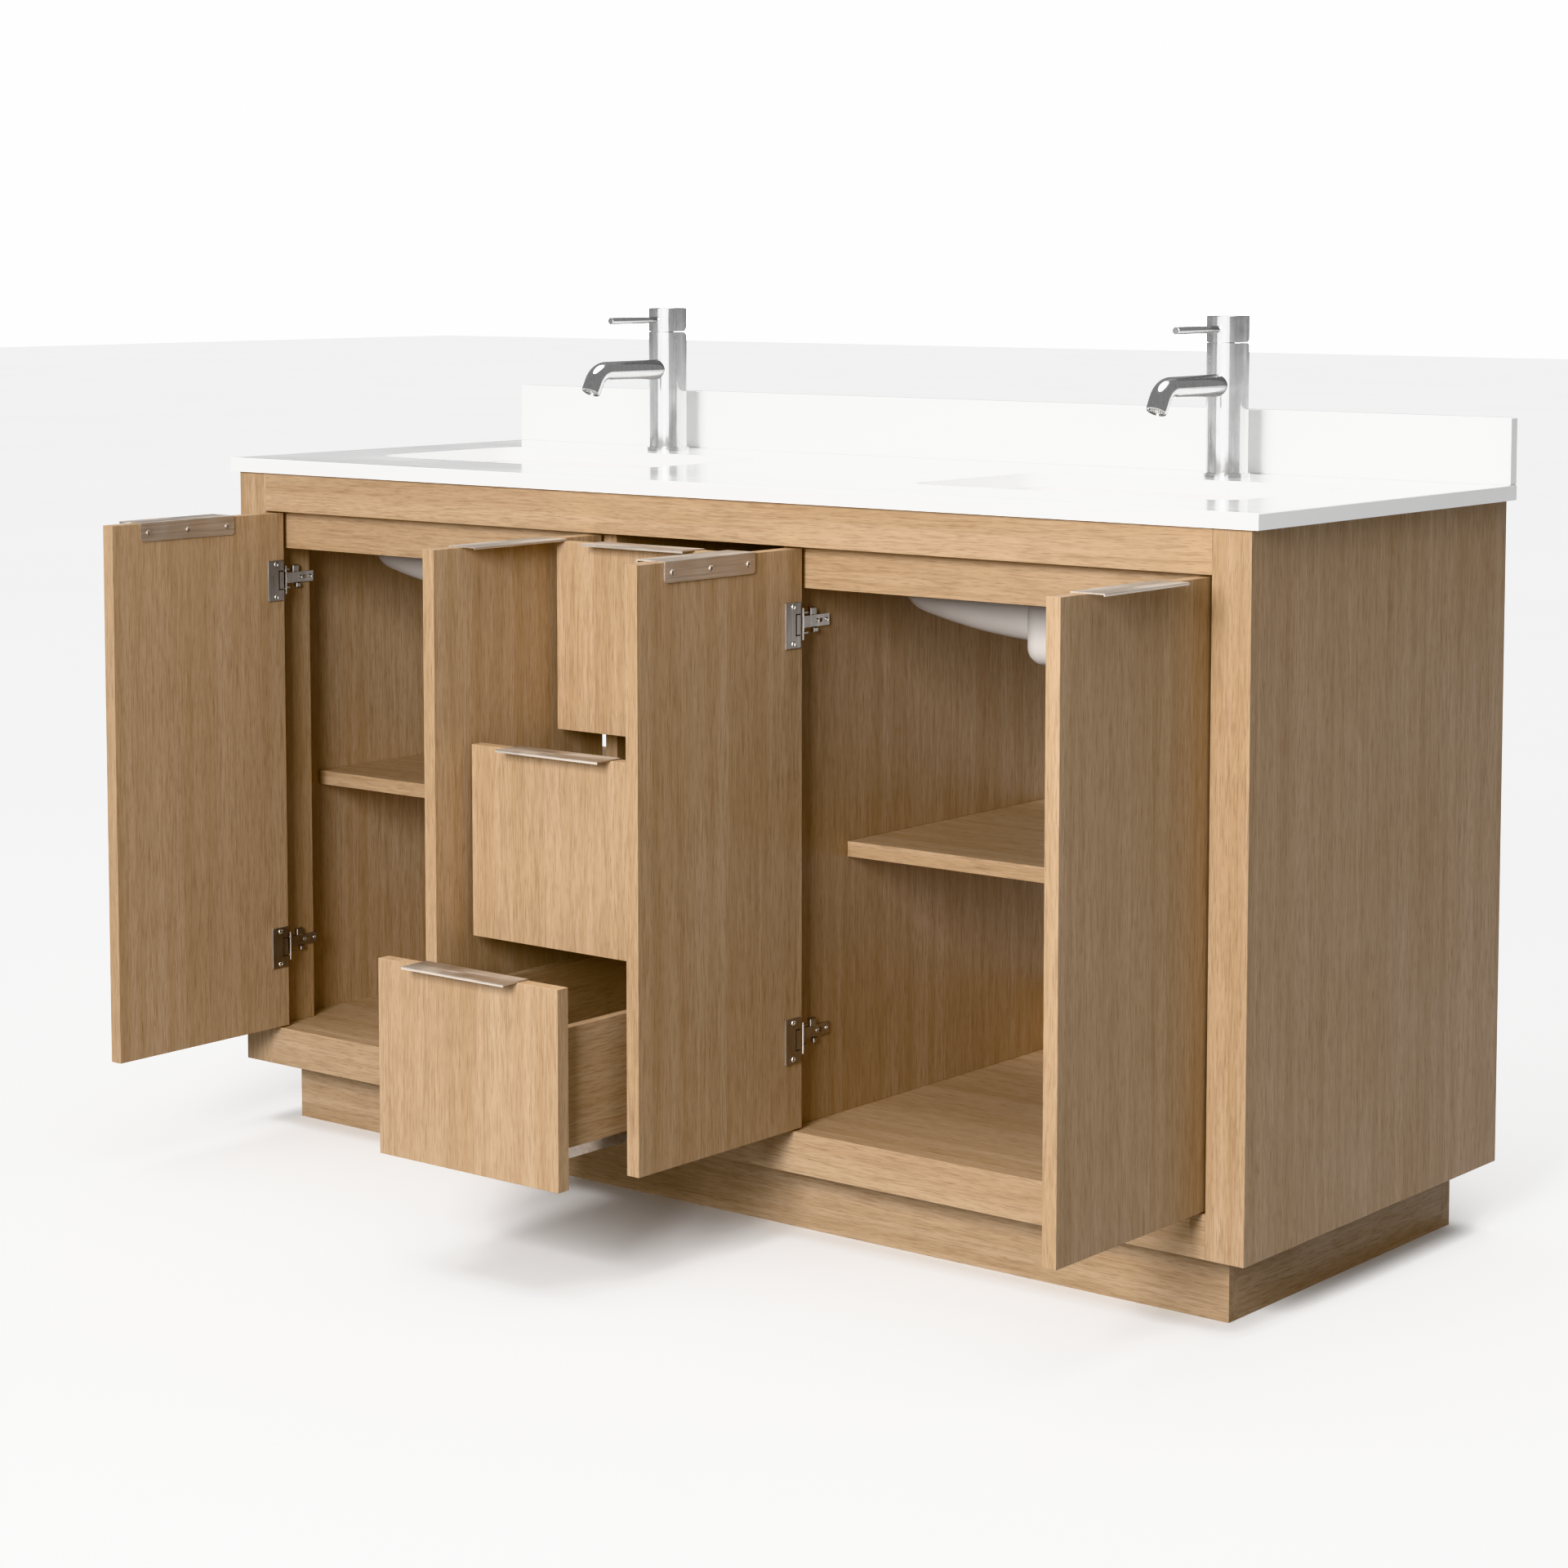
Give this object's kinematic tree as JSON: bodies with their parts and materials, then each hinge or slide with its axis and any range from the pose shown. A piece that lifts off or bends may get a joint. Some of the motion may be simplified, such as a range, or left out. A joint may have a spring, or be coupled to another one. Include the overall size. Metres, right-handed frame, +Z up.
{
  "type": "bathroom vanity cabinet",
  "caption": "Framed oak bathroom vanity with inset doors, a central bank of drawers, a white stone top with undermount basins, a backsplash and single-lever taps.",
  "frame": {"origin": "middle of the plan of the stone top, on the floor under the middle board of the plinth", "axes": "+X runs along the width to the right seen from the front, +Y points to the wall, +Z is up"},
  "size_m": [1.524, 0.9428, 1.0475],
  "materials": {
    "oak_veneer": "satin lacquered light oak veneer",
    "oak_inside": "satin lacquered light oak veneer",
    "white_stone": "polished white engineered stone",
    "white_ceramic": "glossy white glaze",
    "brushed_nickel": "brushed nickel",
    "tap_steel": "fine brushed steel",
    "zinc_plate": "zinc plated steel",
    "cartridge_body": "moulded plastic",
    "brass_fixing": "plain brass"
  },
  "bodies": {
    "cabinet": {"gable_left": "oak_veneer", "gable_right": "oak_veneer", "divider_left": "oak_inside", "divider_right": "oak_inside", "stile_left": "oak_veneer", "stile_right": "oak_veneer", "top_rail": "oak_veneer", "bottom_rail": "oak_veneer", "floor_panel": "oak_inside", "drawer_bay_back": "oak_inside", "back_rails": "oak_inside", "apron_rails": "oak_veneer", "hinge_fillers": "oak_inside", "shelf_left": "oak_inside", "shelf_right": "oak_inside", "plinth_front": "oak_veneer", "plinth_back": "oak_inside", "plinth_crosspieces": "oak_inside", "countertop": "white_stone", "backsplash": "white_stone", "basin_left": "white_ceramic", "basin_right": "white_ceramic", "tap_left_body": "tap_steel", "tap_right_body": "tap_steel", "tap_fixings": "brass_fixing", "hinge_arms": "brushed_nickel", "drawer_runner_rails": "zinc_plate"},
    "door_1": {"door_1_panel": "oak_veneer", "door_1_pull": "brushed_nickel", "door_1_hinge_cups": "brushed_nickel"},
    "door_1_links": {"door_1_hinge_links": "brushed_nickel"},
    "door_2": {"door_2_panel": "oak_veneer", "door_2_pull": "brushed_nickel", "door_2_hinge_cups": "brushed_nickel"},
    "door_2_links": {"door_2_hinge_links": "brushed_nickel"},
    "door_3": {"door_3_panel": "oak_veneer", "door_3_pull": "brushed_nickel", "door_3_hinge_cups": "brushed_nickel"},
    "door_3_links": {"door_3_hinge_links": "brushed_nickel"},
    "door_4": {"door_4_panel": "oak_veneer", "door_4_pull": "brushed_nickel", "door_4_hinge_cups": "brushed_nickel"},
    "door_4_links": {"door_4_hinge_links": "brushed_nickel"},
    "drawer_1": {"drawer_1_front": "oak_veneer", "drawer_1_box": "oak_inside", "drawer_1_pull": "brushed_nickel", "drawer_1_runners": "zinc_plate"},
    "drawer_2": {"drawer_2_front": "oak_veneer", "drawer_2_box": "oak_inside", "drawer_2_pull": "brushed_nickel", "drawer_2_runners": "zinc_plate"},
    "drawer_3": {"drawer_3_front": "oak_veneer", "drawer_3_box": "oak_inside", "drawer_3_pull": "brushed_nickel", "drawer_3_runners": "zinc_plate"},
    "tap_left_cartridge": {"tap_left_cartridge": "cartridge_body"},
    "tap_left_handle": {"tap_left_handle": "tap_steel"},
    "tap_right_cartridge": {"tap_right_cartridge": "cartridge_body"},
    "tap_right_handle": {"tap_right_handle": "tap_steel"}
  },
  "joints": [
    {"name": "door_1_hinge", "type": "hinge", "parent": "cabinet", "child": "door_1", "pos_m": [-0.6952, -0.2672, 0.46025], "axis": [0, 0, -1], "range_deg": [-90, 15]},
    {"name": "door_1_link_swing", "type": "hinge", "parent": "cabinet", "child": "door_1_links", "pos_m": [-0.699, -0.2484, 0.46025], "axis": [0, 0, -1], "range_deg": [-41, 7.5]},
    {"name": "door_2_hinge", "type": "hinge", "parent": "cabinet", "child": "door_2", "pos_m": [-0.1456, -0.2699, 0.46025], "axis": [0, 0, 1], "range_deg": [-90, 0]},
    {"name": "door_2_link_swing", "type": "hinge", "parent": "cabinet", "child": "door_2_links", "pos_m": [-0.149, -0.2484, 0.46025], "axis": [0, 0, 1], "range_deg": [-41, 0.5]},
    {"name": "door_3_hinge", "type": "hinge", "parent": "cabinet", "child": "door_3", "pos_m": [0.1456, -0.2699, 0.46025], "axis": [0, 0, -1], "range_deg": [-90, 0]},
    {"name": "door_3_link_swing", "type": "hinge", "parent": "cabinet", "child": "door_3_links", "pos_m": [0.149, -0.2484, 0.46025], "axis": [0, 0, -1], "range_deg": [-41, 0.5]},
    {"name": "door_4_hinge", "type": "hinge", "parent": "cabinet", "child": "door_4", "pos_m": [0.6952, -0.2672, 0.46025], "axis": [0, 0, 1], "range_deg": [-90, 15]},
    {"name": "door_4_link_swing", "type": "hinge", "parent": "cabinet", "child": "door_4_links", "pos_m": [0.699, -0.2484, 0.46025], "axis": [0, 0, 1], "range_deg": [-41, 7.5]},
    {"name": "drawer_1_slide", "type": "slide", "parent": "cabinet", "child": "drawer_1", "axis": [0, -1, 0], "range_m": [-0.075, 0.31]},
    {"name": "drawer_2_slide", "type": "slide", "parent": "cabinet", "child": "drawer_2", "axis": [0, -1, 0], "range_m": [-0.218, 0.167]},
    {"name": "drawer_3_slide", "type": "slide", "parent": "cabinet", "child": "drawer_3", "axis": [0, -1, 0], "range_m": [-0.368, 0.017]},
    {"name": "tap_left_mix", "type": "hinge", "parent": "cabinet", "child": "tap_left_cartridge", "pos_m": [-0.4317, 0.1946, 1.0167], "axis": [0, 0, 1], "range_deg": [-50, 50]},
    {"name": "tap_left_lift", "type": "hinge", "parent": "tap_left_cartridge", "child": "tap_left_handle", "pos_m": [-0.4317, 0.1986, 1.0167], "axis": [-1, 0, 0], "range_deg": [0, 16]},
    {"name": "tap_right_mix", "type": "hinge", "parent": "cabinet", "child": "tap_right_cartridge", "pos_m": [0.4317, 0.1946, 1.0167], "axis": [0, 0, 1], "range_deg": [-50, 50]},
    {"name": "tap_right_lift", "type": "hinge", "parent": "tap_right_cartridge", "child": "tap_right_handle", "pos_m": [0.4317, 0.1986, 1.0167], "axis": [-1, 0, 0], "range_deg": [0, 16]}
  ],
  "couplings": [
    {"joint": "door_1_link_swing", "follows": "door_1_hinge", "ratio": 0.45},
    {"joint": "door_2_link_swing", "follows": "door_2_hinge", "ratio": 0.45},
    {"joint": "door_3_link_swing", "follows": "door_3_hinge", "ratio": 0.45},
    {"joint": "door_4_link_swing", "follows": "door_4_hinge", "ratio": 0.45}
  ]
}
